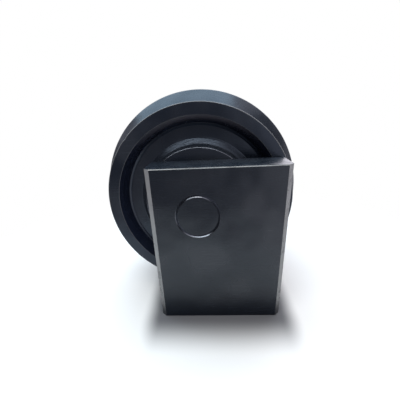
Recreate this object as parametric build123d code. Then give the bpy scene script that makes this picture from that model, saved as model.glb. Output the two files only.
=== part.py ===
"""Front idler of a small tracked excavator, in millimetres.

A guide wheel turns on a fixed cross shaft, between two welded box brackets that slide in
the track frame. The shaft lies along Y. The part stands on the brackets' base plates, the
faces that bolt to the track adjuster's yoke. The origin is on those faces, below the
middle of the shaft. "Front" is the side towards -Y, and "back" its mirror image.
"""

import os
from math import sqrt

from build123d import *

# Driving dimensions of the wheel
SHAFT_RADIUS = 32.5
TREAD_RADIUS = 158.5
FLANGE_RADIUS = 178.0
RIM_HALF_WIDTH = 75.0
FLANGE_HALF_WIDTH = 13.5
FLANK_RUN = 19.5

# Driving dimensions of the brackets
BRACKET_WIDTH = 210.0
BRACKET_HEIGHT = 266.0
BRACKET_DEPTH = 63.0
BRACKET_INNER_Y = 78.0
PLATE = 12.0
BASE_PLATE = 20.0
AXLE_HEIGHT = 193.0
AXLE_TO_LEFT_EDGE = 74.0
LONG_EDGE_CHAMFER = 8.0
EDGE_BREAK = 1.2

# Fits
RUNNING_CLEARANCE = 0.05
LOOSE_CLEARANCE = 0.05

# Rim section
RECESS_MOUTH_RADIUS = 139.5
DISC_RADIUS = 127.5
DISC_SEAT_Y = 51.0
DISC_BACK_Y = 32.0
RIM_BORE_RADIUS = 122.0
RIM_EDGE_ROUND = 1.2
FLANK_ROOT_FILLET = 4.0
FLANGE_EDGE_ROUND = 3.0

# Hub section
HUB_BASE_RADIUS = 105.0
HUB_CONE_RADIUS = 94.0
HUB_CONE_Y = 57.0
HUB_END_RADIUS = 93.0
HUB_END_Y = 71.0
HUB_BARREL_RADIUS = 66.0
HUB_FLARE_RUN = 10.0
HUB_BARREL_FILLET = 6.0
HUB_CONE_FILLET = 6.0
HUB_END_ROUND = 0.3
BUSHING_RADIUS = 37.5
BUSHING_INNER_Y = 8.0
OIL_CAVITY_RADIUS = 41.0
SEAL_BORE_RADIUS = 54.0
SEAL_BORE_Y = 50.0
COLLAR_BORE_RADIUS = 66.0
COLLAR_BORE_Y = 65.0

# Floating seals
SEAL_FACE_Y = 63.55
SEAL_FACE_GAP = 0.1
SEAL_RING_RADIUS = 52.0
SEAL_RING_BORE = 41.0
SEAL_RING_FLANGE = 4.0
SEAL_BARREL_RADIUS = 45.0
SEAL_BARREL_LENGTH = 8.0
TORIC_SECTION_RADIUS = 4.55
TORIC_RADIUS = (SEAL_BARREL_RADIUS + SEAL_BORE_RADIUS) / 2
TORIC_TO_FACE = 8.7

# Seal guard and seal collar
GUARD_RADIUS = 92.5
GUARD_END_Y = 74.5
COLLAR_RADIUS = 64.0
COLLAR_MOUTH_Y = 66.5
COLLAR_FLOOR_Y = 77.0
COLLAR_BACK_Y = 84.0
COLLAR_NOSE_RADIUS = 39.5
COLLAR_NOSE_Y = 50.5
ORING_SECTION_RADIUS = 1.75
ORING_GROOVE_WIDTH = 4.0
ORING_Y = 80.5

# Shaft, its oil way and plug
BORE_BREAK = 1.8
OIL_WAY_RADIUS = 5.0
OIL_CROSS_RADIUS = 3.0
PLUG_THREAD_RADIUS = 7.0
PLUG_HEAD_RADIUS = 10.0
PLUG_POCKET_RADIUS = 10.6
PLUG_POCKET_DEPTH = 10.0
PLUG_HEAD_LENGTH = 6.5
PLUG_THREAD_LENGTH = 12.0
PLUG_HEX = 8.0
PLUG_HEX_DEPTH = 4.5
WASHER_THICKNESS = 1.5

# Shaft boss, rib, lock pin and the yoke bolt holes
BOSS_RADIUS = 50.0
RIB_THICKNESS = 12.0
LOCK_PIN_RADIUS = 8.0
LOCK_PIN_LENGTH = 103.0
ACCESS_RADIUS = 10.0
ACCESS_PLUG_LENGTH = 10.0
ACCESS_HEX = 10.0
ACCESS_HEX_DEPTH = 5.0
YOKE_BOLT_RADIUS = 8.75
YOKE_BOLT_SPACING = 130.0

# Places worked out from them
SHAFT_HALF_LENGTH = BRACKET_INNER_Y + BRACKET_DEPTH
BRACKET_LEFT_X = -AXLE_TO_LEFT_EDGE
BRACKET_RIGHT_X = BRACKET_LEFT_X + BRACKET_WIDTH
BRACKET_MID_X = (BRACKET_LEFT_X + BRACKET_RIGHT_X) / 2
BOX_INNER_Y = BRACKET_INNER_Y + PLATE
BOX_OUTER_Y = SHAFT_HALF_LENGTH - PLATE
BOX_MID_Y = (BOX_INNER_Y + BOX_OUTER_Y) / 2
LOCK_PIN_Z = AXLE_HEIGHT - SHAFT_RADIUS
SIDES = {"front": -1, "back": 1}


def turned(points, radii=0):
    """A ring about the shaft axis; its outline is a list of (radius, y) points."""
    corners = [radii] * len(points) if isinstance(radii, (int, float)) else radii
    outline = FilletPolyline(*points, radius=corners, close=True)
    return Pos(0, 0, AXLE_HEIGHT) * revolve(make_face(outline), Axis.Y)


def torus_ring(radius, y, section_radius):
    """A round-section rubber ring about the shaft axis."""
    section = Pos(radius, y) * Circle(section_radius)
    return Pos(0, 0, AXLE_HEIGHT) * revolve(section, Axis.Y)


def along_y(radius, y_start, y_end, x=0.0, z=AXLE_HEIGHT):
    """A round bar parallel to the shaft."""
    bar = Cylinder(radius, abs(y_end - y_start))
    return Pos(x, (y_start + y_end) / 2, z) * Rot(90, 0, 0) * bar


def along_x(radius, x_start, x_end, y, z):
    """A round bar parallel to X."""
    bar = Cylinder(radius, x_end - x_start)
    return Pos((x_start + x_end) / 2, y, z) * Rot(0, 90, 0) * bar


def block(x_range, y_range, z_range):
    """A box between three pairs of coordinates."""
    low = [min(pair) for pair in (x_range, y_range, z_range)]
    high = [max(pair) for pair in (x_range, y_range, z_range)]
    size = [b - a for a, b in zip(low, high)]
    middle = [(a + b) / 2 for a, b in zip(low, high)]
    return Pos(*middle) * Box(*size)


def mirrored(outline):
    """The same outline on the other side of the wheel's middle plane."""
    return [(radius, -y) for radius, y in reversed(outline)]


def wheel_rim():
    """Tread shoulders, the central guide flange and the two side faces, in one ring."""
    flank_base_y = FLANGE_HALF_WIDTH + FLANK_RUN
    half = [
        (RIM_BORE_RADIUS, DISC_BACK_Y),
        (DISC_RADIUS, DISC_BACK_Y),
        (DISC_RADIUS, DISC_SEAT_Y),
        (RECESS_MOUTH_RADIUS, RIM_HALF_WIDTH),
        (TREAD_RADIUS, RIM_HALF_WIDTH),
        (TREAD_RADIUS, flank_base_y),
        (FLANGE_RADIUS, FLANGE_HALF_WIDTH),
    ]
    radii = [0, 0, 0, RIM_EDGE_ROUND, RIM_EDGE_ROUND, FLANK_ROOT_FILLET, FLANGE_EDGE_ROUND]
    return turned(half + mirrored(half), radii + radii[::-1])


def web_disc(sign):
    """Flat plate ring that joins the rim to the hub."""
    points = [
        (HUB_BASE_RADIUS, DISC_SEAT_Y),
        (DISC_RADIUS, DISC_SEAT_Y),
        (DISC_RADIUS, DISC_BACK_Y),
        (HUB_BASE_RADIUS, DISC_BACK_Y),
    ]
    return turned([(radius, sign * y) for radius, y in points])


def wheel_hub():
    """Barrel with a shallow cone and a boss at each end, bored for bushings, seals and oil."""
    outer = [
        (HUB_BARREL_RADIUS, DISC_BACK_Y - HUB_FLARE_RUN),
        (HUB_BASE_RADIUS, DISC_BACK_Y),
        (HUB_BASE_RADIUS, DISC_SEAT_Y),
        (HUB_CONE_RADIUS, HUB_CONE_Y),
        (HUB_END_RADIUS, HUB_END_Y),
        (COLLAR_BORE_RADIUS, HUB_END_Y),
        (COLLAR_BORE_RADIUS, COLLAR_BORE_Y),
        (SEAL_BORE_RADIUS, COLLAR_BORE_Y),
        (SEAL_BORE_RADIUS, SEAL_BORE_Y),
        (BUSHING_RADIUS, SEAL_BORE_Y),
        (BUSHING_RADIUS, BUSHING_INNER_Y),
        (OIL_CAVITY_RADIUS, BUSHING_INNER_Y - 1.0),
    ]
    radii = [HUB_BARREL_FILLET, 0, 0, HUB_CONE_FILLET, HUB_END_ROUND] + [0] * 7
    return turned(outer + mirrored(outer), radii + radii[::-1])


def bushing(sign):
    """Plain bearing pressed in the hub, running on the shaft."""
    bore = SHAFT_RADIUS + RUNNING_CLEARANCE
    inner = sign * BUSHING_INNER_Y
    outer = sign * SEAL_BORE_Y
    return turned([(bore, inner), (BUSHING_RADIUS, inner), (BUSHING_RADIUS, outer), (bore, outer)])


def seal_guard(sign):
    """Ring pressed on the hub's end face, close around the seal collar."""
    points = [
        (COLLAR_BORE_RADIUS, HUB_END_Y),
        (GUARD_RADIUS, HUB_END_Y),
        (GUARD_RADIUS, GUARD_END_Y),
        (COLLAR_BORE_RADIUS, GUARD_END_Y),
    ]
    return turned([(radius, sign * y) for radius, y in points], [0, 0, 1.0, 1.0])


def seal_ring(sign, away):
    """Metal ring of a floating seal: a lapped flange and the barrel that its toric grips.

    away is -1 for the ring in the hub and +1 for the ring in the collar.
    """
    face = SEAL_FACE_Y + away * SEAL_FACE_GAP / 2
    step = face + away * SEAL_RING_FLANGE
    end = step + away * SEAL_BARREL_LENGTH
    points = [
        (SEAL_RING_BORE, face),
        (SEAL_RING_RADIUS, face),
        (SEAL_RING_RADIUS, step),
        (SEAL_BARREL_RADIUS, step),
        (SEAL_BARREL_RADIUS, end),
        (SEAL_RING_BORE, end),
    ]
    return turned([(radius, sign * y) for radius, y in points])


def toric_ring(sign, away):
    """Rubber ring squeezed between a seal ring's barrel and its housing."""
    y = sign * (SEAL_FACE_Y + away * TORIC_TO_FACE)
    return torus_ring(TORIC_RADIUS, y, TORIC_SECTION_RADIUS)


def seal_collar(sign):
    """Fixed collar on the shaft: seal housing, thrust nose and a spigot in the bracket."""
    bore = SHAFT_RADIUS + RUNNING_CLEARANCE
    points = [
        (bore, COLLAR_NOSE_Y),
        (COLLAR_NOSE_RADIUS, COLLAR_NOSE_Y),
        (COLLAR_NOSE_RADIUS, COLLAR_FLOOR_Y),
        (SEAL_BORE_RADIUS, COLLAR_FLOOR_Y),
        (SEAL_BORE_RADIUS, COLLAR_MOUTH_Y),
        (COLLAR_RADIUS, COLLAR_MOUTH_Y),
        (COLLAR_RADIUS, COLLAR_BACK_Y),
        (bore, COLLAR_BACK_Y),
        (bore, ORING_Y + ORING_GROOVE_WIDTH / 2),
        (SHAFT_RADIUS + 2 * ORING_SECTION_RADIUS, ORING_Y + ORING_GROOVE_WIDTH / 2),
        (SHAFT_RADIUS + 2 * ORING_SECTION_RADIUS, ORING_Y - ORING_GROOVE_WIDTH / 2),
        (bore, ORING_Y - ORING_GROOVE_WIDTH / 2),
    ]
    return turned([(radius, sign * y) for radius, y in points])


def shaft_oring(sign):
    """Keeps the oil in, between the shaft and the seal collar."""
    return torus_ring(SHAFT_RADIUS + ORING_SECTION_RADIUS, sign * ORING_Y, ORING_SECTION_RADIUS)


def shaft():
    """Fixed cross shaft with its oil way, plug pocket and a notch for each lock pin."""
    end = SHAFT_HALF_LENGTH
    bar = turned(
        [
            (0, -end),
            (SHAFT_RADIUS - BORE_BREAK, -end),
            (SHAFT_RADIUS, -end + BORE_BREAK),
            (SHAFT_RADIUS, end - BORE_BREAK),
            (SHAFT_RADIUS - BORE_BREAK, end),
            (0, end),
        ]
    )
    pocket_floor = end - PLUG_POCKET_DEPTH
    bar -= along_y(OIL_WAY_RADIUS, 0, pocket_floor)
    bar -= along_y(PLUG_THREAD_RADIUS, pocket_floor - PLUG_THREAD_LENGTH, pocket_floor)
    bar -= along_y(PLUG_POCKET_RADIUS, pocket_floor, end)
    bar -= Pos(0, 0, AXLE_HEIGHT + SHAFT_RADIUS / 2) * Cylinder(OIL_CROSS_RADIUS, SHAFT_RADIUS + 2)
    notch_radius = LOCK_PIN_RADIUS + LOOSE_CLEARANCE
    for sign in SIDES.values():
        bar -= along_x(notch_radius, -SHAFT_RADIUS, SHAFT_RADIUS, sign * BOX_MID_Y, LOCK_PIN_Z)
    return bar


def hex_socket(size, depth):
    """A hexagonal recess, size across its flats, from z = 0 down."""
    return extrude(RegularPolygon(size / sqrt(3), 6), amount=-depth)


def oil_plug():
    """Screwed plug in the back end of the shaft, with a hexagon socket."""
    head_seat = SHAFT_HALF_LENGTH - PLUG_POCKET_DEPTH + WASHER_THICKNESS
    head_end = head_seat + PLUG_HEAD_LENGTH
    plug = turned(
        [
            (0, head_seat - PLUG_THREAD_LENGTH),
            (PLUG_THREAD_RADIUS, head_seat - PLUG_THREAD_LENGTH),
            (PLUG_THREAD_RADIUS, head_seat),
            (PLUG_HEAD_RADIUS, head_seat),
            (PLUG_HEAD_RADIUS, head_end),
            (0, head_end),
        ],
        [0, 0, 0, 0, 0.8, 0],
    )
    socket = hex_socket(PLUG_HEX, PLUG_HEX_DEPTH)
    return plug - Pos(0, head_end, AXLE_HEIGHT) * Rot(-90, 0, 0) * socket


def oil_plug_washer():
    """Flat sealing washer below the oil plug's head."""
    floor = SHAFT_HALF_LENGTH - PLUG_POCKET_DEPTH
    inner = PLUG_THREAD_RADIUS + LOOSE_CLEARANCE
    top = floor + WASHER_THICKNESS
    return turned([(inner, floor), (PLUG_HEAD_RADIUS, floor), (PLUG_HEAD_RADIUS, top), (inner, top)])


def shaft_bore(y_start, y_end):
    """The hole that a plate or boss has for the shaft."""
    return along_y(SHAFT_RADIUS + RUNNING_CLEARANCE, y_start, y_end)


def face_plate(sign):
    """Outer plate, with both long edges chamfered and the shaft's end flush in it."""
    outer = SHAFT_HALF_LENGTH
    plate = block(
        (BRACKET_LEFT_X, BRACKET_RIGHT_X),
        (sign * BOX_OUTER_Y, sign * outer),
        (0, BRACKET_HEIGHT),
    )
    outer_edges = plate.edges().filter_by_position(Axis.Y, sign * outer, sign * outer)
    plate = chamfer(outer_edges.filter_by(Axis.Z), LONG_EDGE_CHAMFER)
    end_edges = plate.edges().filter_by_position(Axis.Y, sign * outer, sign * outer).filter_by(Axis.X)
    plate = chamfer(end_edges, EDGE_BREAK)
    plate -= shaft_bore(sign * BOX_OUTER_Y, sign * outer)
    bore = SHAFT_RADIUS + RUNNING_CLEARANCE
    flare = [(0, outer - BORE_BREAK), (bore, outer - BORE_BREAK), (bore + BORE_BREAK, outer), (0, outer)]
    return plate - turned([(radius, sign * y) for radius, y in flare])


def inner_plate(sign):
    """Plate towards the wheel, with a round seat for the seal collar."""
    plate = block(
        (BRACKET_LEFT_X, BRACKET_RIGHT_X),
        (sign * BRACKET_INNER_Y, sign * BOX_INNER_Y),
        (0, BRACKET_HEIGHT),
    )
    inner_edges = plate.edges().filter_by_position(
        Axis.Y, sign * BRACKET_INNER_Y, sign * BRACKET_INNER_Y
    )
    plate = chamfer(inner_edges, EDGE_BREAK)
    plate -= shaft_bore(sign * BRACKET_INNER_Y, sign * BOX_INNER_Y)
    return plate - along_y(COLLAR_RADIUS + LOOSE_CLEARANCE, sign * BRACKET_INNER_Y, sign * COLLAR_BACK_Y)


def side_plate(sign, x_outer, x_inner, has_access):
    """Plate between face plate and inner plate, with the lock pin's access hole if asked."""
    plate = block(
        (x_outer, x_inner),
        (sign * BOX_INNER_Y, sign * BOX_OUTER_Y),
        (BASE_PLATE, BRACKET_HEIGHT - PLATE),
    )
    if has_access:
        radius = ACCESS_RADIUS + LOOSE_CLEARANCE
        x_range = sorted((x_outer, x_inner))
        plate -= along_x(radius, *x_range, sign * BOX_MID_Y, LOCK_PIN_Z)
    return plate


def left_side(sign):
    """Side plate nearer to the shaft, with the lock pin's access hole."""
    return side_plate(sign, BRACKET_LEFT_X, BRACKET_LEFT_X + PLATE, True)


def right_side(sign):
    """Plain side plate, further from the shaft."""
    return side_plate(sign, BRACKET_RIGHT_X, BRACKET_RIGHT_X - PLATE, False)


def top_plate(sign):
    """Closes the box at its end away from the yoke."""
    return block(
        (BRACKET_LEFT_X, BRACKET_RIGHT_X),
        (sign * BOX_INNER_Y, sign * BOX_OUTER_Y),
        (BRACKET_HEIGHT - PLATE, BRACKET_HEIGHT),
    )


def base_plate(sign):
    """Thick plate with the two threaded holes for the yoke's bolts."""
    plate = block(
        (BRACKET_LEFT_X, BRACKET_RIGHT_X),
        (sign * BOX_INNER_Y, sign * BOX_OUTER_Y),
        (0, BASE_PLATE),
    )
    for side in (-1, 1):
        x = BRACKET_MID_X + side * YOKE_BOLT_SPACING / 2
        plate -= Pos(x, sign * BOX_MID_Y, BASE_PLATE / 2) * Cylinder(YOKE_BOLT_RADIUS, BASE_PLATE)
    return plate


def boss(sign):
    """Tube around the shaft inside the box, crossed by the lock pin."""
    tube = along_y(BOSS_RADIUS, sign * BOX_INNER_Y, sign * BOX_OUTER_Y)
    tube -= shaft_bore(sign * BOX_INNER_Y, sign * BOX_OUTER_Y)
    return tube - along_x(
        LOCK_PIN_RADIUS + LOOSE_CLEARANCE, -BOSS_RADIUS, BOSS_RADIUS, sign * BOX_MID_Y, LOCK_PIN_Z
    )


def rib(sign):
    """Carries the track's pull from the boss straight down to the base plate."""
    plate = block(
        (-RIB_THICKNESS / 2, RIB_THICKNESS / 2),
        (sign * BOX_INNER_Y, sign * BOX_OUTER_Y),
        (BASE_PLATE, AXLE_HEIGHT - BOSS_RADIUS + 5.0),
    )
    return plate - along_y(BOSS_RADIUS, sign * BOX_INNER_Y, sign * BOX_OUTER_Y)


def lock_pin(sign):
    """Plain pin through boss and shaft notch, entered from the left side plate."""
    start = BRACKET_LEFT_X + PLATE + LOOSE_CLEARANCE
    return along_x(LOCK_PIN_RADIUS, start, start + LOCK_PIN_LENGTH, sign * BOX_MID_Y, LOCK_PIN_Z)


def lock_pin_plug(sign):
    """Screwed plug that closes the lock pin's access hole, flush with the side plate."""
    y = sign * BOX_MID_Y
    plug = along_x(ACCESS_RADIUS, BRACKET_LEFT_X, BRACKET_LEFT_X + ACCESS_PLUG_LENGTH, y, LOCK_PIN_Z)
    socket = hex_socket(ACCESS_HEX, ACCESS_HEX_DEPTH)
    return plug - Pos(BRACKET_LEFT_X, y, LOCK_PIN_Z) * Rot(0, -90, 0) * socket


def one_side(name, sign):
    """Every piece that the idler has once on each side."""
    hub_side = -1
    collar_side = 1
    return {
        f"{name}_web_disc": web_disc(sign),
        f"{name}_bushing": bushing(sign),
        f"{name}_seal_guard": seal_guard(sign),
        f"{name}_rotating_seal_ring": seal_ring(sign, hub_side),
        f"{name}_rotating_toric_ring": toric_ring(sign, hub_side),
        f"{name}_fixed_seal_ring": seal_ring(sign, collar_side),
        f"{name}_fixed_toric_ring": toric_ring(sign, collar_side),
        f"{name}_seal_collar": seal_collar(sign),
        f"{name}_shaft_oring": shaft_oring(sign),
        f"{name}_bracket_face_plate": face_plate(sign),
        f"{name}_bracket_inner_plate": inner_plate(sign),
        f"{name}_bracket_left_side": left_side(sign),
        f"{name}_bracket_right_side": right_side(sign),
        f"{name}_bracket_top_plate": top_plate(sign),
        f"{name}_bracket_base_plate": base_plate(sign),
        f"{name}_bracket_boss": boss(sign),
        f"{name}_bracket_rib": rib(sign),
        f"{name}_lock_pin": lock_pin(sign),
        f"{name}_lock_pin_plug": lock_pin_plug(sign),
    }


def build():
    """Every node of the idler by name."""
    nodes = {
        "wheel_rim": wheel_rim(),
        "wheel_hub": wheel_hub(),
        "shaft": shaft(),
        "oil_plug": oil_plug(),
        "oil_plug_washer": oil_plug_washer(),
    }
    for name, sign in SIDES.items():
        nodes.update(one_side(name, sign))
    return nodes


os.makedirs("parts", exist_ok=True)
for node, solid in build().items():
    export_step(solid, f"parts/{node}.step")
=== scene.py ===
import math

import bmesh
import bpy
from mathutils import Matrix, Vector, noise


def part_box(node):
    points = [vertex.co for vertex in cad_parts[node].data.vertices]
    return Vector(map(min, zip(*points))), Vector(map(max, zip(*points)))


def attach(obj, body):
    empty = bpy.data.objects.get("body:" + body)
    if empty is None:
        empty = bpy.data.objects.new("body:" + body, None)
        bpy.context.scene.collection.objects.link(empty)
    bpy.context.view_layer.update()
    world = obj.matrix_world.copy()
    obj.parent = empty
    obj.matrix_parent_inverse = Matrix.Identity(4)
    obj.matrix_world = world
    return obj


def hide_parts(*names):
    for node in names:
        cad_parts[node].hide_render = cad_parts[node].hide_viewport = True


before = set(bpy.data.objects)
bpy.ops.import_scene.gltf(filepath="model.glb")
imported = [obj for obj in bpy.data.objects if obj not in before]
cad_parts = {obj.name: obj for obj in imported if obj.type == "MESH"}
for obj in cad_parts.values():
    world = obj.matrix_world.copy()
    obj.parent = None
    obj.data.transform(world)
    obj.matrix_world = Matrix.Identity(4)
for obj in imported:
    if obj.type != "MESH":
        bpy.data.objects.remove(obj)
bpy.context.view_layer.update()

MM = 0.001

# Places and sizes read from the frame
rim_low, rim_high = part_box("wheel_rim")
disc_low, disc_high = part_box("front_web_disc")
hub_low, hub_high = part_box("wheel_hub")
guard_low, guard_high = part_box("front_seal_guard")
bushing_low, bushing_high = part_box("front_bushing")
collar_low, collar_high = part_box("front_seal_collar")
shaft_low, shaft_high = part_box("shaft")

AXLE = (rim_low + rim_high) / 2
FLANGE_RADIUS = (rim_high.x - rim_low.x) / 2
RIM_HALF_WIDTH = rim_high.y
DISC_RADIUS = (disc_high.x - disc_low.x) / 2
DISC_SEAT_Y = -disc_low.y
DISC_BACK_Y = -disc_high.y
HUB_BASE_RADIUS = (hub_high.x - hub_low.x) / 2
HUB_END_Y = hub_high.y
GUARD_RADIUS = (guard_high.x - guard_low.x) / 2
GUARD_END_Y = -guard_low.y
BUSHING_RADIUS = (bushing_high.x - bushing_low.x) / 2
BUSHING_INNER_Y = -bushing_high.y
SEAL_BORE_Y = -bushing_low.y
COLLAR_RADIUS = (collar_high.x - collar_low.x) / 2
COLLAR_BACK_Y = -collar_low.y
SHAFT_RADIUS = (shaft_high.x - shaft_low.x) / 2

# Turned sections of the wheel, as the CAD has them
TREAD_RADIUS = 158.5 * MM
FLANGE_HALF_WIDTH = 13.5 * MM
FLANK_RUN = 19.5 * MM
RECESS_MOUTH_RADIUS = 139.5 * MM
RIM_BORE_RADIUS = 122.0 * MM
HUB_CONE_RADIUS = 94.0 * MM
HUB_CONE_Y = 57.0 * MM
HUB_END_RADIUS = 93.0 * MM
HUB_BARREL_RADIUS = 66.0 * MM
HUB_FLARE_RUN = 10.0 * MM
OIL_CAVITY_RADIUS = 41.0 * MM
OIL_CAVITY_Y = 7.0 * MM
SEAL_BORE_RADIUS = 54.0 * MM
COLLAR_BORE_RADIUS = 66.0 * MM
COLLAR_BORE_Y = 65.0 * MM

# Bracket details, as the CAD has them
LONG_EDGE_CHAMFER = 8.0 * MM
END_EDGE_BREAK = 1.2 * MM
BORE_BREAK = 1.8 * MM
BORE_CLEARANCE = 0.05 * MM

# How far the edges are rounded
RIM_EDGE_ROUND = 1.2 * MM
TREAD_ROOT_ROUND = 4.0 * MM
FLANGE_EDGE_ROUND = 3.0 * MM
HUB_ROUND = 6.0 * MM
HUB_END_ROUND = 0.3 * MM
GUARD_ROUND = 1.0 * MM
VISIBLE_PLATE_ROUND = 0.5 * MM
HIDDEN_PLATE_ROUND = 0.4 * MM

# How bare an edge is worn, from 0 to 1. MACHINED marks one that is turned and thinly
# painted instead.
SOFT_EDGE_WEAR = 1.0
END_EDGE_WEAR = 0.6
CHAMFER_WEAR = 0.42
TREAD_EDGE_WEAR = 0.35
FLANGE_EDGE_WEAR = 0.15
MOUTH_EDGE_WEAR = 0.11
MACHINED = -1.0

# Small chip in the near edge of the tread
NICK_ANGLE = math.radians(-46)
NICK_REACH = 4 * MM
NICK_DEPTH = 1.2 * MM

# Weld beads at the web discs: length of the two legs, and how far the bead bulges
WELD_PITCH = 3.5 * MM
RIM_BEAD = (2.0 * MM, 3.5 * MM, 0.3 * MM)
HUB_BEAD = (1.5 * MM, 1.0 * MM, 0.12 * MM)

# Seams of the bracket plates, ground almost flush
SEAM_PITCH = 3 * MM
SEAM_WIDTH = 5 * MM
SEAM_HEIGHT = 0.25 * MM

# Camera, placed from the middle of the wheel's near side face
CAMERA_FROM_FACE = Vector((0.0221, -0.412, 0.142))
CAMERA_LENS_MM = 22.56
CAMERA_PITCH = math.radians(24.096)
CAMERA_YAW = math.radians(3.327)
CAMERA_ROLL = math.radians(2.828)
CAMERA_SHIFT = (0.0011, 0.0625)

# How the meshes are divided, and which of their edges stay sharp
RING_SEGMENTS = 360
FACE_STEPS = (0.2, 0.45, 0.7, 0.88)
CREASE_ANGLE = math.radians(28)
PLANE_TOLERANCE = 0.01 * MM

# The part's two sides, each with the sign of its y
SIDES = {"front": -1, "back": 1}

# Colours of the black paint, of what lies on it or shows through it, and of the painted light
# in the wheel's recess
DEEP_PAINT = (0.0040, 0.0060, 0.0105, 1)
HAZED_PAINT = (0.0160, 0.0180, 0.0230, 1)
# Painted light: a lighter black for the recess walls, and a grey where they face down near the
# mouth, as if lit from below
RECESS_PAINTED_LIGHT = (0.009, 0.012, 0.024, 1)
MOUTH_PAINTED_LIGHT = (0.11, 0.11, 0.125, 1)
DUST = (0.13, 0.16, 0.20, 1)
BARE_STEEL = (0.41, 0.405, 0.385, 1)
MACHINED_STEEL = (0.15, 0.16, 0.18, 1)
WHEEL_GLOSS_TINT = (0.70, 0.82, 1.0, 1.0)
BRACKET_GLOSS_TINT = (0.86, 0.93, 1.0, 1.0)

# Floor, in metres: it fades out between two distances from the middle, and carries a painted
# shadow, darker in a narrow band around the brackets
FLOOR_HALF = 3.0
FLOOR_FADE = (0.34, 0.70)
FLOOR_COLOUR = (0.96, 0.94, 0.90, 1)
SHADE_COLOUR = (0.16, 0.16, 0.165, 1)
SHADE_BAND = (5 * MM, 86 * MM)
SHADE_SIDE_NARROWING = 2.2

# Rectangular lights: place, aim, size, brightness and colour
SOFTBOXES = {
    "overhead": ((-0.4, 0.3, 1.3), (-0.4, 0.3, 0.0), (1.8, 0.8), 3.1, (0.62, 0.86, 1.0)),
    "front_top": ((-0.2, -0.75, 1.1), (0, 0, 0.25), (1.2, 0.35), 4.4, (0.9, 0.96, 1.0)),
    "front_strip": ((-0.1, -0.50, 1.3), (0, -0.1, 0.2), (0.9, 0.12), 6.0, (1.0, 0.98, 0.95)),
}

# Surroundings that only light and reflections see: their strength, and what each window adds
# to it, or takes from it, where all its ramps are full. A ramp is an axis of the direction,
# the value where it starts and the value where it is full.
WORLD_COLOUR = (0.95, 0.92, 1.0, 1)
WORLD_STRENGTH = 0.32
WORLD_WINDOWS = [
    (0.75, [(0, 0.0, 0.30)]),
    (-0.45, [(0, 0.45, 0.80)]),
    (-0.58, [(0, 0.50, 0.85), (2, -0.20, 0.05)]),
    (1.0, [(1, 0.0, 0.6)]),
    (0.3, [(0, -0.4, -0.9), (2, 0.0, -0.2)]),
    (-0.31, [(0, -0.5, -0.85), (2, -0.20, 0.05)]),
]


# ---------------------------------------------------------------- mesh building

def piece_from(build, name):
    """Turn a bmesh into an object with smooth faces and creased sharp edges."""
    bmesh.ops.recalc_face_normals(build, faces=build.faces)
    for face in build.faces:
        face.smooth = True
    mesh = bpy.data.meshes.new(name)
    build.to_mesh(mesh)
    build.free()
    mesh.set_sharp_from_angle(angle=CREASE_ANGLE)
    piece = bpy.data.objects.new(name, mesh)
    bpy.context.scene.collection.objects.link(piece)
    return piece


def skin_loops(build, loops, wear, closed):
    """Join a row of point loops with faces.

    wear says how bare each band between two loops is worn, and may be a list with a value
    for each side of the loops. closed joins the last loop to the first, and otherwise each
    end gets a flat cap.
    """
    layer = build.faces.layers.float.get("wear") or build.faces.layers.float.new("wear")
    rows = [[build.verts.new(point) for point in loop] for loop in loops]
    pairs = list(zip(rows, rows[1:]))
    if closed:
        pairs.append((rows[-1], rows[0]))
    else:
        build.faces.new(rows[0])
        build.faces.new(rows[-1])
    for (one, other), share in zip(pairs, wear):
        for i in range(len(one)):
            j = (i + 1) % len(one)
            face = build.faces.new((one[i], one[j], other[j], other[i]))
            face[layer] = share[i * len(share) // len(one)] if isinstance(share, list) else share


def around_axle(radius, y, angle):
    """A point at an angle from straight up, about the shaft axis."""
    return Vector((AXLE.x + radius * math.sin(angle), y, AXLE.z + radius * math.cos(angle)))


def rounded(corners, steps=5):
    """Closed outline of (radius, y, wear) from (radius, y, round, wear) corners.

    Each corner is replaced by an arc, and its wear belongs to the arc's own bands.
    """
    outline = []
    for i, (radius, y, size, wear) in enumerate(corners):
        corner = Vector((radius, y))
        if size == 0:
            outline.append((radius, y, 0.0))
            continue
        before = Vector(corners[i - 1][:2]) - corner
        after = Vector(corners[(i + 1) % len(corners)][:2]) - corner
        half_angle = before.angle(after) / 2
        reach = size / math.tan(half_angle)
        start = corner + before.normalized() * reach
        end = corner + after.normalized() * reach
        inward = (before.normalized() + after.normalized()).normalized()
        centre = corner + inward * (size / math.sin(half_angle))
        for step in range(steps + 1):
            chord = start.lerp(end, step / steps) - centre
            point = centre + chord.normalized() * size
            outline.append((point.x, point.y, wear if step < steps else 0.0))
    return outline


def mirrored(corners):
    """The same corners on the other side of the wheel's middle plane."""
    return [(radius, -y, size, wear) for radius, y, size, wear in reversed(corners)]


def lathe(name, outline, shift=None):
    """Turn a closed (radius, y, wear) outline about the shaft axis.

    shift(point) may return a small displacement for each point.
    """
    build = bmesh.new()
    loops = []
    for radius, y, _ in outline:
        loop = []
        for i in range(RING_SEGMENTS):
            point = around_axle(radius, y, 2 * math.pi * i / RING_SEGMENTS)
            loop.append(point + shift(point) if shift else point)
        loops.append(loop)
    skin_loops(build, loops, [wear for _, _, wear in outline], closed=True)
    return piece_from(build, name)


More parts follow.
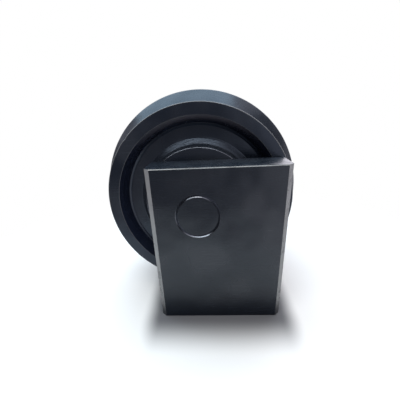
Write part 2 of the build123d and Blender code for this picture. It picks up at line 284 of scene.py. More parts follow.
def weld_ring(name, corner, legs, bulge):
    """Rippled weld bead around the wheel, laid in the corner of two surfaces.

    corner is (radius, y); legs are the two vectors, in (radius, y), from the corner to
    the bead's toes; bulge is how far its middle stands proud of the line between them.
    """
    across = 8
    root = Vector(corner)
    toes = [root + Vector(leg) for leg in legs]
    outward = ((toes[0] + toes[1]) / 2 - root).normalized()
    ripples = 2 * math.pi * root.x / WELD_PITCH
    steps = int(ripples * 4)
    build = bmesh.new()
    loops = []
    for step in range(steps):
        angle = 2 * math.pi * step / steps
        loop = []
        for k in range(across + 1):
            share = k / across
            dome = 1 - (2 * share - 1) ** 2
            phase = angle / (2 * math.pi) * round(ripples) - 0.45 * dome
            ripple = 0.75 + 0.25 * abs(math.sin(math.pi * phase))
            point = toes[0].lerp(toes[1], share) + outward * bulge * dome * ripple
            loop.append(around_axle(point.x, point.y, angle))
        buried = root - outward * bulge
        loop.append(around_axle(buried.x, buried.y, angle))
        loops.append(loop)
    skin_loops(build, loops, [0.0] * steps, closed=True)
    return piece_from(build, name)


def seam(name, start, end, outward):
    """Weld seam ground almost flush: a low rippled strip between two points."""
    across = 6
    along = end - start
    sideways = along.cross(outward).normalized()
    ripples = along.length / SEAM_PITCH
    steps = int(ripples * 3)
    build = bmesh.new()
    loops = []
    for step in range(steps + 1):
        share = step / steps
        middle = start.lerp(end, share)
        fade = min(1.0, 8 * share, 8 * (1 - share))
        loop = []
        for k in range(across + 1):
            side = 2 * k / across - 1
            phase = share * ripples + 0.4 * side ** 2
            ripple = 0.8 + 0.2 * abs(math.sin(math.pi * phase))
            wobble = 0.15 * noise.noise(middle * 60)
            lift = SEAM_HEIGHT * (1 - side ** 2) * ripple * fade
            loop.append(middle + sideways * SEAM_WIDTH / 2 * (side + wobble) + outward * lift)
        loop.append(middle - outward * SEAM_HEIGHT)
        loops.append(loop)
    skin_loops(build, loops, [0.0] * steps, closed=False)
    return piece_from(build, name)


def to_space(axes, u, v, w):
    """A point from its two in-plane coordinates and its depth, along the named axes."""
    point = Vector((0.0, 0.0, 0.0))
    for axis, value in zip(axes, (u, v, w)):
        point["xyz".index(axis)] = value
    return point


def rectangle(low, high, inset_u=0.0, inset_v=0.0, per_side=18):
    """Points around a rectangle in its own plane, with the corners among them."""
    corners = [
        Vector((low[0] + inset_u, low[1] + inset_v)),
        Vector((high[0] - inset_u, low[1] + inset_v)),
        Vector((high[0] - inset_u, high[1] - inset_v)),
        Vector((low[0] + inset_u, high[1] - inset_v)),
    ]
    points = []
    for corner, following in zip(corners, corners[1:] + corners[:1]):
        points += [corner.lerp(following, i / per_side) for i in range(per_side)]
    return points


def soften_edges(build, joints, width, in_hole):
    """Round the sharp edges, apart from those that lie on a joint with the next plate.

    joints is a list of (axis, value) planes, and in_hole(point) says which points are on
    the hole, whose edges stay crisp. The new faces are worn bare.
    """
    layer = build.faces.layers.float.get("wear")
    sharp = []
    for edge in build.edges:
        on_joint = any(
            all(abs(vert.co["xyz".index(axis)] - value) < PLANE_TOLERANCE for vert in edge.verts)
            for axis, value in joints
        )
        on_hole = all(in_hole(vert.co) for vert in edge.verts)
        if not on_joint and not on_hole and edge.calc_face_angle(0) > CREASE_ANGLE:
            sharp.append(edge)
    rounded_faces = bmesh.ops.bevel(
        build, geom=sharp, offset=width, offset_type="OFFSET", segments=3, profile=0.5,
        affect="EDGES", clamp_overlap=True,
    )["faces"]
    for face in rounded_faces:
        face[layer] = max(face[layer], SOFT_EDGE_WEAR)


def between(one, other):
    """Loops that lead over a flat face from one loop to another."""
    return [[a.lerp(b, share) for a, b in zip(one, other)] for share in FACE_STEPS]


def plate(name, node, axes, joints, levels, hole, softness):
    """Flat plate as large as a CAD node, with its edges softened.

    axes names the two in-plane axes and the thickness axis. levels is a list of
    (depth, inset_u, inset_v, wear) rings from one face to the other, where depth is a
    coordinate. hole is None or (centre_u, centre_v, [(radius, depth, wear), ...]), from
    the last face back to the first.
    """
    low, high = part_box(node)
    in_plane = ["xyz".index(axis) for axis in axes[:2]]
    flat_low = [low[axis] for axis in in_plane]
    flat_high = [high[axis] for axis in in_plane]
    loops = []
    wear = []
    for depth, inset_u, inset_v, share in levels:
        ring = rectangle(flat_low, flat_high, inset_u, inset_v)
        loops.append([to_space(axes, point.x, point.y, depth) for point in ring])
        wear.append(share)
    if hole:
        centre = Vector(hole[:2])
        nominal = rectangle(flat_low, flat_high)
        circle = [(point - centre).normalized() for point in nominal]
        rings = hole[2]
        bores = []
        for radius, depth, _ in rings:
            bores.append([to_space(axes, *(centre + way * radius), depth) for way in circle])
        loops += between(loops[-1], bores[0])
        wear += [0.0] * len(FACE_STEPS)
        loops += bores
        wear += [share for _, _, share in rings]
        loops += between(bores[-1], loops[0])
        wear += [0.0] * len(FACE_STEPS)

    def in_hole(point):
        flat = Vector([point[axis] for axis in in_plane])
        return bool(hole) and (flat - Vector(hole[:2])).length < hole[2][0][0] + PLANE_TOLERANCE

    build = bmesh.new()
    skin_loops(build, loops, wear, closed=bool(hole))
    soften_edges(build, joints, softness, in_hole)
    return piece_from(build, name)


# ---------------------------------------------------------------- materials

class Nodes:
    """Short forms for building the node tree of a material or of the world."""

    def __init__(self, owner, output="ShaderNodeOutputMaterial"):
        owner.use_nodes = True
        self.owner = owner
        self.tree = owner.node_tree
        self.tree.nodes.clear()
        self.output = self.tree.nodes.new(output)

    def link(self, source, target):
        self.tree.links.new(source, target)

    def fill(self, socket, value):
        """Link a socket or set it to a plain value."""
        if isinstance(value, bpy.types.NodeSocket):
            self.link(value, socket)
        else:
            socket.default_value = value

    def math(self, operation, one, other=0.0, clamp=False):
        node = self.tree.nodes.new("ShaderNodeMath")
        node.operation = operation
        node.use_clamp = clamp
        self.fill(node.inputs[0], one)
        self.fill(node.inputs[1], other)
        return node.outputs[0]

    def times(self, one, other):
        return self.math("MULTIPLY", one, other)

    def plus(self, one, other):
        return self.math("ADD", one, other)

    def length(self, x, y):
        """Length of a flat vector from its two parts."""
        return self.math("SQRT", self.plus(self.times(x, x), self.times(y, y)))

    def scaled(self, vector, factors):
        node = self.tree.nodes.new("ShaderNodeVectorMath")
        node.operation = "MULTIPLY"
        self.fill(node.inputs[0], vector)
        node.inputs[1].default_value = factors
        return node.outputs[0]

    def noise(self, vector, scale, detail=2.0, roughness=0.5):
        node = self.tree.nodes.new("ShaderNodeTexNoise")
        self.fill(node.inputs["Vector"], vector)
        node.inputs["Scale"].default_value = scale
        node.inputs["Detail"].default_value = detail
        node.inputs["Roughness"].default_value = roughness
        return node.outputs[0]

    def ranged(self, value, low, high, to_low=0.0, to_high=1.0):
        node = self.tree.nodes.new("ShaderNodeMapRange")
        node.interpolation_type = "SMOOTHSTEP"
        self.fill(node.inputs["Value"], value)
        node.inputs["From Min"].default_value = low
        node.inputs["From Max"].default_value = high
        node.inputs["To Min"].default_value = to_low
        node.inputs["To Max"].default_value = to_high
        return node.outputs[0]

    def mix(self, share, one, other):
        """Blend two colours or sockets by a share."""
        node = self.tree.nodes.new("ShaderNodeMix")
        node.data_type = "RGBA"
        self.fill(node.inputs["Factor"], share)
        self.fill(node.inputs[6], one)
        self.fill(node.inputs[7], other)
        return node.outputs[2]

    def blend(self, share, one, other):
        """Blend two numbers by a share."""
        node = self.tree.nodes.new("ShaderNodeMix")
        node.data_type = "FLOAT"
        self.fill(node.inputs["Factor"], share)
        self.fill(node.inputs[2], one)
        self.fill(node.inputs[3], other)
        return node.outputs[0]

    def bump(self, height, distance, strength=1.0, below=None):
        node = self.tree.nodes.new("ShaderNodeBump")
        node.inputs["Strength"].default_value = strength
        node.inputs["Distance"].default_value = distance
        self.fill(node.inputs["Height"], height)
        if below is not None:
            self.link(below, node.inputs["Normal"])
        return node.outputs[0]

    def place(self):
        """Coordinates fixed to the piece, in metres."""
        return self.tree.nodes.new("ShaderNodeTexCoord").outputs["Object"]

    def facing(self):
        """The surface's direction, fixed to the piece."""
        return self.tree.nodes.new("ShaderNodeTexCoord").outputs["Normal"]

    def parts(self, vector):
        node = self.tree.nodes.new("ShaderNodeSeparateXYZ")
        self.link(vector, node.inputs[0])
        return node.outputs

    def joined(self, x, y, z):
        node = self.tree.nodes.new("ShaderNodeCombineXYZ")
        for socket, value in zip(node.inputs, (x, y, z)):
            self.fill(socket, value)
        return node.outputs[0]

    def attribute(self, name):
        node = self.tree.nodes.new("ShaderNodeAttribute")
        node.attribute_name = name
        return node.outputs["Fac"]

    def shader(self, kind, colour):
        """A shader node of a simple kind, with its colour filled in."""
        node = self.tree.nodes.new(kind)
        self.fill(node.inputs[0], colour)
        return node

    def blend_shaders(self, share, one, other):
        """Blend two shaders by a share, and send the result to the output."""
        node = self.tree.nodes.new("ShaderNodeMixShader")
        self.fill(node.inputs[0], share)
        self.link(one.outputs[0], node.inputs[1])
        self.link(other.outputs[0], node.inputs[2])
        self.link(node.outputs[0], self.output.inputs[0])

    def principled(self, color, roughness, metallic=0.0, normal=None, **constants):
        """The usual shader, sent to the output; returns the finished material."""
        shader = self.tree.nodes.new("ShaderNodeBsdfPrincipled")
        self.fill(shader.inputs["Base Color"], color)
        self.fill(shader.inputs["Roughness"], roughness)
        self.fill(shader.inputs["Metallic"], metallic)
        if normal is not None:
            self.link(normal, shader.inputs["Normal"])
        for socket, value in constants.items():
            shader.inputs[socket.replace("_", " ")].default_value = value
        self.link(shader.outputs[0], self.output.inputs[0])
        return self.owner


def new_material(name):
    """Node tree of a new material."""
    return Nodes(bpy.data.materials.new(name))


def from_axle(nodes):
    """Offset from the shaft axis, across and up, and its length, which is never zero."""
    x, _, z = nodes.parts(nodes.place())
    up = nodes.math("SUBTRACT", z, AXLE.z)
    return x, up, nodes.math("MAXIMUM", nodes.length(x, up), 1 * MM)


def turned_pattern(nodes, fineness):
    """Uneven rings about the shaft axis, as a lathe tool leaves them."""
    _, y, _ = nodes.parts(nodes.place())
    x, up, radius = from_axle(nodes)
    track = nodes.times(nodes.plus(radius, nodes.times(y, 0.7)), fineness)
    across = nodes.math("DIVIDE", x, radius)
    along = nodes.math("DIVIDE", up, radius)
    return nodes.noise(nodes.joined(track, across, along), 1.0, detail=3.0, roughness=0.6)


def inward_share(nodes):
    """How far a turned surface faces the shaft axis, as the walls of the recess do."""
    x, up, radius = from_axle(nodes)
    across, _, along = nodes.parts(nodes.facing())
    outward = nodes.plus(nodes.times(x, across), nodes.times(up, along))
    return nodes.ranged(nodes.math("DIVIDE", outward, radius), -0.3, -0.8)


def painted_recess_light(nodes):
    """Painted light on the recess walls: grey where they face down near the mouth, lighter black
    elsewhere.
    """
    _, depth, _ = nodes.parts(nodes.place())
    _, _, up = nodes.parts(nodes.facing())
    mouth = nodes.ranged(nodes.math("ABSOLUTE", depth), DISC_SEAT_Y + 4 * MM, RIM_HALF_WIDTH)
    overhung = nodes.ranged(up, -0.55, -0.95)
    return nodes.mix(nodes.times(mouth, overhung), RECESS_PAINTED_LIGHT, MOUTH_PAINTED_LIGHT)


def chamfer_share(nodes):
    """Where a turned part's chamfers are, which slant between its end and its side."""
    _, along, _ = nodes.parts(nodes.facing())
    slant = nodes.math("ABSOLUTE", along)
    rising = nodes.ranged(slant, 0.4, 0.6)
    falling = nodes.ranged(slant, 0.8, 0.95, 1.0, 0.0)
    return nodes.times(rising, falling)


def black_paint(name, gloss_tint, groove_depth=0.0, machined_chamfers=False):
    """Semi-gloss black paint on steel, thin and worn through along the edges.

    groove_depth is how deep the lathe's grooves show through it, and only turned parts
    have them. machined_chamfers is for a CAD node, whose mesh carries no wear.
    """
    nodes = new_material(name)
    place = nodes.place()
    _, _, height = nodes.parts(place)
    _, _, up = nodes.parts(nodes.facing())
    broad = nodes.noise(place, 9.0, detail=2.0)
    middle = nodes.noise(place, 55.0, detail=4.0, roughness=0.6)
    fine = nodes.noise(place, 420.0, detail=2.0)
    speck = nodes.noise(place, 900.0, detail=1.0)
    scratch = nodes.noise(nodes.scaled(place, (30.0, 260.0, 1500.0)), 1.0, detail=2.0)

    film = nodes.ranged(up, 0.3, 1.0, 0.0, 0.11)
    dust = nodes.times(nodes.ranged(middle, 0.3, 0.8, 0.5, 1.0), film)
    dust = nodes.math("ADD", dust, nodes.ranged(speck, 0.76, 0.84, 0.0, 0.06), clamp=True)
    haze_and_ground_shade = nodes.ranged(nodes.noise(place, 13.0, detail=1.5), 0.42, 0.68)
    # Painted shade: the haze fades out towards the ground, so the paint is darker over the
    # lowest 60 mm
    haze_and_ground_shade = nodes.times(haze_and_ground_shade, nodes.ranged(height, 0.0, 60 * MM))
    colour = nodes.mix(haze_and_ground_shade, DEEP_PAINT, HAZED_PAINT)
    if groove_depth:
        # Painted light: the recess walls that face the axis are made lighter
        colour = nodes.mix(inward_share(nodes), colour, painted_recess_light(nodes))
    colour = nodes.mix(dust, colour, DUST)

    rough = nodes.ranged(broad, 0.3, 0.7, 0.17, 0.24)
    rough = nodes.plus(rough, nodes.ranged(middle, 0.3, 0.7, -0.02, 0.03))
    rough = nodes.plus(rough, nodes.ranged(scratch, 0.62, 0.72, 0.0, 0.08))
    rough = nodes.plus(rough, dust)

    if machined_chamfers:
        bare = 0.0
        machined = chamfer_share(nodes)
    else:
        wear = nodes.attribute("wear")
        bare = nodes.math("MAXIMUM", wear, 0.0)
        machined = nodes.math("DIVIDE", nodes.math("MINIMUM", wear, 0.0), MACHINED)
    worn_and_ground_shade = nodes.times(bare, nodes.ranged(middle, 0.2, 0.62, 0.45, 1.0))
    if not groove_depth:
        # Painted shade: the brackets' bare edges are darkened towards the ground
        worn_and_ground_shade = nodes.times(worn_and_ground_shade, nodes.ranged(height, 0.0, 75 * MM, 0.2, 1.0))
    colour = nodes.mix(worn_and_ground_shade, colour, BARE_STEEL)
    rough = nodes.blend(worn_and_ground_shade, rough, 0.42)
    colour = nodes.mix(machined, colour, MACHINED_STEEL)
    rough = nodes.blend(machined, rough, 0.18)
    metallic = nodes.math("ADD", nodes.times(worn_and_ground_shade, 0.55), machined, clamp=True)

    normal = nodes.bump(broad, 6.0 * MM)
    normal = nodes.bump(fine, 0.03 * MM, below=normal)
    if groove_depth:
        normal = nodes.bump(turned_pattern(nodes, 900.0), groove_depth, below=normal)
    return nodes.principled(colour, rough, metallic, normal, Specular_Tint=gloss_tint)


def machined_steel(name):
    """Turned steel with a thin film of oil."""
    nodes = new_material(name)
    rings = turned_pattern(nodes, 1600.0)
    stain = nodes.noise(nodes.place(), 45.0, detail=4.0)
    colour = nodes.mix(stain, (0.42, 0.42, 0.41, 1), (0.58, 0.57, 0.55, 1))
    rough = nodes.ranged(rings, 0.3, 0.7, 0.18, 0.34)
    rough = nodes.plus(rough, nodes.ranged(stain, 0.4, 0.7, 0.0, 0.1))
    return nodes.principled(colour, rough, 1.0, nodes.bump(rings, 0.05 * MM, 0.7))


def zinc_steel(name):
    """Zinc-plated screw plug, slightly clouded."""
    nodes = new_material(name)
    cloud = nodes.noise(nodes.place(), 300.0, detail=5.0, roughness=0.65)
    colour = nodes.mix(cloud, (0.50, 0.52, 0.55, 1), (0.72, 0.73, 0.74, 1))
    rough = nodes.ranged(cloud, 0.3, 0.7, 0.28, 0.46)
    return nodes.principled(colour, rough, 1.0, nodes.bump(cloud, 0.04 * MM, 0.5))


def seal_iron(name):
    """Hard white iron of the seal rings, cast skin with a lapped band."""
    nodes = new_material(name)
    grain = nodes.noise(nodes.place(), 700.0, detail=3.0)
    stain = nodes.noise(nodes.place(), 60.0, detail=4.0)
    colour = nodes.mix(stain, (0.16, 0.155, 0.15, 1), (0.27, 0.26, 0.25, 1))
    rough = nodes.ranged(grain, 0.3, 0.7, 0.26, 0.42)
    return nodes.principled(colour, rough, 1.0, nodes.bump(grain, 0.06 * MM, 0.6))


def seal_rubber(name):
    """Nitrile rubber, matt and slightly bloomed."""
    nodes = new_material(name)
    bloom = nodes.noise(nodes.place(), 120.0, detail=5.0)
    grain = nodes.noise(nodes.place(), 1500.0, detail=2.0)
    colour = nodes.mix(bloom, (0.008, 0.008, 0.008, 1), (0.024, 0.023, 0.022, 1))
    rough = nodes.ranged(bloom, 0.3, 0.7, 0.5, 0.66)
    return nodes.principled(colour, rough, 0.0, nodes.bump(grain, 0.03 * MM, 0.5))


def bearing_bronze(name):
    """Bored bronze of the bushings, with darker tarnish."""
    nodes = new_material(name)
    rings = turned_pattern(nodes, 1800.0)
    tarnish = nodes.noise(nodes.place(), 80.0, detail=5.0)
    colour = nodes.mix(tarnish, (0.42, 0.25, 0.09, 1), (0.66, 0.42, 0.18, 1))
    rough = nodes.ranged(rings, 0.3, 0.7, 0.2, 0.36)
    return nodes.principled(colour, rough, 1.0, nodes.bump(rings, 0.04 * MM, 0.6))


def sealing_copper(name):
    """Soft copper washer, dulled by handling."""
    nodes = new_material(name)
    tarnish = nodes.noise(nodes.place(), 260.0, detail=5.0)
    colour = nodes.mix(tarnish, (0.42, 0.16, 0.09, 1), (0.72, 0.33, 0.22, 1))
    rough = nodes.ranged(tarnish, 0.3, 0.7, 0.3, 0.5)
    return nodes.principled(colour, rough, 1.0, nodes.bump(tarnish, 0.03 * MM, 0.5))


MATERIALS = {
    "black_paint_wheel": black_paint("black_paint_wheel", WHEEL_GLOSS_TINT, 0.04 * MM),
    "black_paint_hub": black_paint("black_paint_hub", WHEEL_GLOSS_TINT, 0.3 * MM),
    "black_paint_brackets": black_paint("black_paint_brackets", BRACKET_GLOSS_TINT),
    "black_paint_shaft": black_paint(
        "black_paint_shaft", BRACKET_GLOSS_TINT, 0.03 * MM, machined_chamfers=True
    ),
    "machined_steel": machined_steel("machined_steel"),
    "zinc_steel": zinc_steel("zinc_steel"),
    "seal_iron": seal_iron("seal_iron"),
    "seal_rubber": seal_rubber("seal_rubber"),
    "bearing_bronze": bearing_bronze("bearing_bronze"),
    "sealing_copper": sealing_copper("sealing_copper"),
}

# Material slot of each kind of CAD node that stays as it is
SLOT_OF_KIND = {
    "shaft": "black_paint_shaft",
    "oil_plug": "zinc_steel",
    "oil_plug_washer": "sealing_copper",
    "lock_pin": "machined_steel",
    "lock_pin_plug": "black_paint_brackets",
    "seal_collar": "machined_steel",
    "bushing": "bearing_bronze",
    "rotating_seal_ring": "seal_iron",
    "fixed_seal_ring": "seal_iron",
    "rotating_toric_ring": "seal_rubber",
    "fixed_toric_ring": "seal_rubber",
    "shaft_oring": "seal_rubber",
    "bracket_boss": "black_paint_brackets",
    "bracket_rib": "black_paint_brackets",
    "bracket_base_plate": "black_paint_brackets",
}


def paint_frame():
    """Give every CAD node that stays its material."""
    for name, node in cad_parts.items():
        kind = name
        for side in SIDES:
            kind = kind.removeprefix(side + "_")
        if kind in SLOT_OF_KIND:
            for slot in node.material_slots:
                slot.material = MATERIALS[SLOT_OF_KIND[kind]]


def settle(piece, body, slot, *nodes, finish=None):
    """Give a piece its finish and body, and hide the CAD nodes it stands for."""
    piece.data.materials.append(MATERIALS[finish or slot])
    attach(piece, body)
    if nodes:
        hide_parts(*nodes)


# ---------------------------------------------------------------- the wheel

def rim_nick(point):
    """A small chip in the near edge of the tread."""
    centre = around_axle(TREAD_RADIUS, -RIM_HALF_WIDTH, NICK_ANGLE)
    closeness = max(0.0, 1 - (point - centre).length / NICK_REACH)
    return (AXLE - centre).normalized() * NICK_DEPTH * closeness


def add_rim():
    """Tread shoulders, centre flange and side faces."""
    flank_base_y = FLANGE_HALF_WIDTH + FLANK_RUN
    half = [
        (RIM_BORE_RADIUS, DISC_BACK_Y, 0, 0),
        (DISC_RADIUS, DISC_BACK_Y, 0, 0),
        (DISC_RADIUS, DISC_SEAT_Y, 0, 0),
        (RECESS_MOUTH_RADIUS, RIM_HALF_WIDTH, RIM_EDGE_ROUND, MOUTH_EDGE_WEAR),
        (TREAD_RADIUS, RIM_HALF_WIDTH, RIM_EDGE_ROUND, TREAD_EDGE_WEAR),
        (TREAD_RADIUS, flank_base_y, TREAD_ROOT_ROUND, 0),
        (FLANGE_RADIUS, FLANGE_HALF_WIDTH, FLANGE_EDGE_ROUND, FLANGE_EDGE_WEAR),
    ]
    piece = lathe("rim_with_flange", rounded(half + mirrored(half)), rim_nick)
    settle(piece, "wheel", "black_paint_wheel", "wheel_rim")


def add_web_disc(side, sign):
    """Flat web plate of one side, with its weld beads at the rim and at the hub."""
    corners = [
        (HUB_BASE_RADIUS, sign * DISC_SEAT_Y, 0, 0),
        (DISC_RADIUS, sign * DISC_SEAT_Y, 0, 0),
        (DISC_RADIUS, sign * DISC_BACK_Y, 0, 0),
        (HUB_BASE_RADIUS, sign * DISC_BACK_Y, 0, 0),
    ]
    disc = lathe(f"{side}_web", rounded(corners))
    settle(disc, "wheel", "black_paint_wheel", f"{side}_web_disc")

    rim_corner = Vector((DISC_RADIUS, sign * DISC_SEAT_Y))
    hub_corner = Vector((HUB_BASE_RADIUS, sign * DISC_SEAT_Y))
    up_wall = (Vector((RECESS_MOUTH_RADIUS, sign * RIM_HALF_WIDTH)) - rim_corner).normalized()
    up_cone = (Vector((HUB_CONE_RADIUS, sign * HUB_CONE_Y)) - hub_corner).normalized()
    outward = Vector((1, 0))
    beads = {
        "rim": (rim_corner, up_wall, -outward, RIM_BEAD),
        "hub": (hub_corner, outward, up_cone, HUB_BEAD),
    }
    for place, (corner, first_way, second_way, (first_leg, second_leg, bulge)) in beads.items():
        legs = (first_way * first_leg, second_way * second_leg)
        bead = weld_ring(f"{side}_{place}_weld", corner, legs, bulge)
        settle(bead, "wheel", "black_paint_wheel")


def add_hub():
    """Hub with its two tapered ends and the stepped bore."""
    half = [
        (HUB_BARREL_RADIUS, DISC_BACK_Y - HUB_FLARE_RUN, HUB_ROUND, 0),
        (HUB_BASE_RADIUS, DISC_BACK_Y, 0, 0),
        (HUB_BASE_RADIUS, DISC_SEAT_Y, 0, 0),
        (HUB_CONE_RADIUS, HUB_CONE_Y, HUB_ROUND, 0),
        (HUB_END_RADIUS, HUB_END_Y, HUB_END_ROUND, 0),
        (COLLAR_BORE_RADIUS, HUB_END_Y, 0, 0),
        (COLLAR_BORE_RADIUS, COLLAR_BORE_Y, 0, 0),
        (SEAL_BORE_RADIUS, COLLAR_BORE_Y, 0, 0),
        (SEAL_BORE_RADIUS, SEAL_BORE_Y, 0, 0),
        (BUSHING_RADIUS, SEAL_BORE_Y, 0, 0),
        (BUSHING_RADIUS, BUSHING_INNER_Y, 0, 0),
        (OIL_CAVITY_RADIUS, OIL_CAVITY_Y, 0, 0),
    ]
    piece = lathe("hub_with_tapered_ends", rounded(half + mirrored(half)))
    settle(piece, "wheel", "black_paint_wheel", "wheel_hub", finish="black_paint_hub")


def add_seal_guard(side, sign):
    """Guard ring on the hub's end face."""
    corners = [
        (COLLAR_BORE_RADIUS, sign * HUB_END_Y, 0, 0),
        (GUARD_RADIUS, sign * HUB_END_Y, 0, 0),
        (GUARD_RADIUS, sign * GUARD_END_Y, GUARD_ROUND, MACHINED),
        (COLLAR_BORE_RADIUS, sign * GUARD_END_Y, GUARD_ROUND, 0),
    ]
    guard = lathe(f"{side}_guard_ring", rounded(corners))
    settle(guard, "wheel", "black_paint_wheel", f"{side}_seal_guard")


# ---------------------------------------------------------------- the brackets

def add_face_plate(side, sign):
    """Outer plate with its chamfered long edges and the flared shaft hole."""
    node = f"{side}_bracket_face_plate"
    low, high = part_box(node)
    outer = high.y if sign > 0 else low.y
    inner = low.y if sign > 0 else high.y
    break_end = outer - sign * END_EDGE_BREAK
    chamfer_end = outer - sign * LONG_EDGE_CHAMFER
    bore = SHAFT_RADIUS + BORE_CLEARANCE
    on_long_edges = [0.0, CHAMFER_WEAR, 0.0, CHAMFER_WEAR]
    on_all_edges = [END_EDGE_WEAR, CHAMFER_WEAR, END_EDGE_WEAR, CHAMFER_WEAR]
    levels = [
        (inner, 0, 0, 0.0),
        (chamfer_end, 0, 0, on_long_edges),
        (break_end, LONG_EDGE_CHAMFER - END_EDGE_BREAK, 0, on_all_edges),
        (outer, LONG_EDGE_CHAMFER, END_EDGE_BREAK, 0.0),
    ]
    hole = (AXLE.x, AXLE.z, [
        (bore + BORE_BREAK, outer, MACHINED),
        (bore, outer - sign * BORE_BREAK, 0.0),
        (bore, inner, 0.0),
    ])
    joints = [("y", inner)]
    piece = plate(f"{side}_bracket_face", node, "xzy", joints, levels, hole, VISIBLE_PLATE_ROUND)
    settle(piece, "carrier", "black_paint_brackets", node)


def add_inner_plate(side, sign):
    """Plate towards the wheel, with the collar's seat."""
    node = f"{side}_bracket_inner_plate"
    low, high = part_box(node)
    outer = high.y if sign > 0 else low.y
    inner = low.y if sign > 0 else high.y
    seat = sign * COLLAR_BACK_Y
    bore = SHAFT_RADIUS + BORE_CLEARANCE
    levels = [
        (outer, 0, 0, 0.0),
        (inner + sign * END_EDGE_BREAK, 0, 0, END_EDGE_WEAR),
        (inner, END_EDGE_BREAK, END_EDGE_BREAK, 0.0),
    ]
    hole = (AXLE.x, AXLE.z, [
        (COLLAR_RADIUS + BORE_CLEARANCE, inner, 0.0),
        (COLLAR_RADIUS + BORE_CLEARANCE, seat, 0.0),
        (bore, seat, 0.0),
        (bore, outer, 0.0),
    ])
    joints = [("y", outer)]
    piece = plate(f"{side}_bracket_inner", node, "xzy", joints, levels, hole, HIDDEN_PLATE_ROUND)
    settle(piece, "carrier", "black_paint_brackets", node)


def add_side_plates(side):
    """Left side plate with the access hole, and the plain right one."""
    for hand in ("left", "right"):
        node = f"{side}_bracket_{hand}_side"
        low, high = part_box(node)
        joints = [("y", low.y), ("y", high.y), ("z", low.z), ("z", high.z)]
        levels = [(low.x, 0, 0, 0.0), (high.x, 0, 0, 0.0)]
        hole = None
        if hand == "left":
            plug_low, plug_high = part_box(f"{side}_lock_pin_plug")
            middle = (plug_low + plug_high) / 2
            radius = (plug_high.z - plug_low.z) / 2 + BORE_CLEARANCE
            hole = (middle.y, middle.z, [(radius, high.x, 0.0), (radius, low.x, 0.0)])
        name = f"{side}_bracket_{hand}"
        piece = plate(name, node, "yzx", joints, levels, hole, HIDDEN_PLATE_ROUND)
        settle(piece, "carrier", "black_paint_brackets", node)


def add_top_plate(side):
    """Plate that closes the box above the shaft."""
    node = f"{side}_bracket_top_plate"
    low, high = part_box(node)
    joints = [("y", low.y), ("y", high.y), ("z", low.z)]
    levels = [(low.z, 0, 0, 0.0), (high.z, 0, 0, 0.0)]
    name = f"{side}_bracket_top"
    piece = plate(name, node, "xyz", joints, levels, None, VISIBLE_PLATE_ROUND)
    settle(piece, "carrier", "black_paint_brackets", node)


def add_bracket_seams(side):
    """Ground weld seams where the box plates meet the face plate and the inner plate."""
    box_low, box_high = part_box(f"{side}_bracket_top_plate")
    _, face_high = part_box(f"{side}_bracket_face_plate")
    for number, y in enumerate((box_low.y, box_high.y)):
        left_foot = Vector((box_low.x, y, 0))
        left_top = Vector((box_low.x, y, face_high.z))
        right_foot = Vector((box_high.x, y, 0))
        right_top = Vector((box_high.x, y, face_high.z))
        runs = {
            "top": (left_top, right_top, Vector((0, 0, 1))),
            "left": (left_foot, left_top, Vector((-1, 0, 0))),
            "right": (right_foot, right_top, Vector((1, 0, 0))),
        }
        for place, (start, end, outward) in runs.items():
            piece = seam(f"{side}_{place}_seam_{number + 1}", start, end, outward)
            settle(piece, "carrier", "black_paint_brackets")


# ---------------------------------------------------------------- stage, light, camera

def add_floor():
    """Pale studio floor around the part, fading out into the background, with a painted shadow
    around the brackets.
    """
    mesh = bpy.data.meshes.new("floor")
    corners = [
        (-FLOOR_HALF, -FLOOR_HALF, 0),
        (FLOOR_HALF, -FLOOR_HALF, 0),
        (FLOOR_HALF, FLOOR_HALF, 0),
        (-FLOOR_HALF, FLOOR_HALF, 0),
    ]
    mesh.from_pydata(corners, [], [(0, 1, 2, 3)])
    floor = bpy.data.objects.new("floor", mesh)
    bpy.context.scene.collection.objects.link(floor)

    nodes = new_material("floor")
    x, y, _ = nodes.parts(nodes.place())
    fade = nodes.ranged(nodes.length(x, y), *FLOOR_FADE)
    bracket_low, bracket_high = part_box("front_bracket_face_plate")
    middle_x = (bracket_low.x + bracket_high.x) / 2
    half_x = (bracket_high.x - bracket_low.x) / 2
    from_middle = nodes.math("ABSOLUTE", nodes.math("SUBTRACT", x, middle_x))
    beside = nodes.math("MAXIMUM", nodes.math("SUBTRACT", from_middle, half_x), 0.0)
    before = nodes.math("SUBTRACT", nodes.math("ABSOLUTE", y), -bracket_low.y)
    before = nodes.math("MAXIMUM", before, 0.0)
    away = nodes.length(nodes.times(beside, SHADE_SIDE_NARROWING), before)
    # Painted shadow: the floor is darker close to the brackets
    shade = nodes.ranged(away, *SHADE_BAND)
    paper = nodes.shader("ShaderNodeBsdfDiffuse", nodes.mix(shade, SHADE_COLOUR, FLOOR_COLOUR))
    clear = nodes.shader("ShaderNodeBsdfTransparent", (1, 1, 1, 1))
    nodes.blend_shaders(fade, paper, clear)
    mesh.materials.append(nodes.owner)


def add_softbox(name, location, target, size, brightness, colour):
    """Rectangular light; brightness is what a mirror would show of its face."""
    data = bpy.data.lights.new(name, "AREA")
    data.shape = "RECTANGLE"
    data.size, data.size_y = size
    data.energy = brightness * math.pi * size[0] * size[1]
    data.color = colour
    light = bpy.data.objects.new(name, data)
    bpy.context.scene.collection.objects.link(light)
    light.location = location
    aim = Vector(target) - Vector(location)
    light.rotation_euler = aim.to_track_quat("-Z", "Y").to_euler()


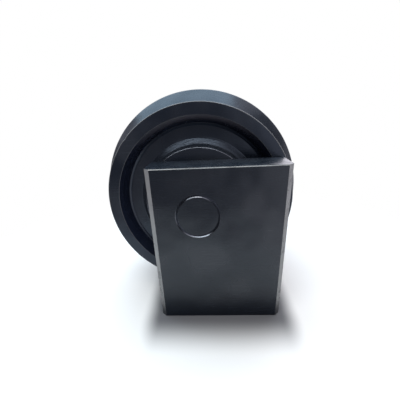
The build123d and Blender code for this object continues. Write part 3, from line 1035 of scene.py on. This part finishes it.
def add_world():
    """White backdrop for the camera, and dim surroundings for everything else."""
    world = bpy.data.worlds.new("studio")
    bpy.context.scene.world = world
    nodes = Nodes(world, "ShaderNodeOutputWorld")
    direction = nodes.tree.nodes.new("ShaderNodeTexCoord").outputs["Generated"]
    axes = nodes.parts(direction)
    strength = WORLD_STRENGTH
    for extra, ramps in WORLD_WINDOWS:
        share = extra
        for axis, start, full in ramps:
            share = nodes.times(share, nodes.ranged(axes[axis], start, full))
        strength = nodes.plus(strength, share)
    dim = nodes.shader("ShaderNodeBackground", WORLD_COLOUR)
    nodes.link(strength, dim.inputs["Strength"])
    white = nodes.shader("ShaderNodeBackground", (1, 1, 1, 1))
    seen = nodes.tree.nodes.new("ShaderNodeLightPath").outputs["Is Camera Ray"]
    nodes.blend_shaders(seen, dim, white)


def add_camera():
    """Camera at the reference viewpoint, turned by its yaw, pitch and roll."""
    data = bpy.data.cameras.new("camera")
    data.sensor_width = 36.0
    data.lens = CAMERA_LENS_MM
    data.shift_x, data.shift_y = CAMERA_SHIFT
    data.clip_start = 0.01
    camera = bpy.data.objects.new("camera", data)
    bpy.context.scene.collection.objects.link(camera)
    right = Vector((math.cos(CAMERA_YAW), math.sin(CAMERA_YAW), 0.0))
    ahead = Vector((
        -math.sin(CAMERA_YAW) * math.cos(CAMERA_PITCH),
        math.cos(CAMERA_YAW) * math.cos(CAMERA_PITCH),
        -math.sin(CAMERA_PITCH),
    ))
    down = ahead.cross(right)
    image_right = right * math.cos(CAMERA_ROLL) + down * math.sin(CAMERA_ROLL)
    image_up = right * math.sin(CAMERA_ROLL) - down * math.cos(CAMERA_ROLL)
    turn = Matrix((image_right, image_up, -ahead)).transposed()
    face_middle = Vector((AXLE.x, rim_low.y, AXLE.z))
    camera.matrix_world = Matrix.Translation(face_middle + CAMERA_FROM_FACE) @ turn.to_4x4()
    bpy.context.scene.camera = camera


paint_frame()
add_rim()
add_hub()
for side_name, side_sign in SIDES.items():
    add_web_disc(side_name, side_sign)
    add_seal_guard(side_name, side_sign)
    add_face_plate(side_name, side_sign)
    add_inner_plate(side_name, side_sign)
    add_side_plates(side_name)
    add_top_plate(side_name)
    add_bracket_seams(side_name)

add_floor()
for softbox_name, softbox in SOFTBOXES.items():
    add_softbox(softbox_name, *softbox)
add_world()
add_camera()
bpy.context.scene.view_settings.view_transform = "Standard"
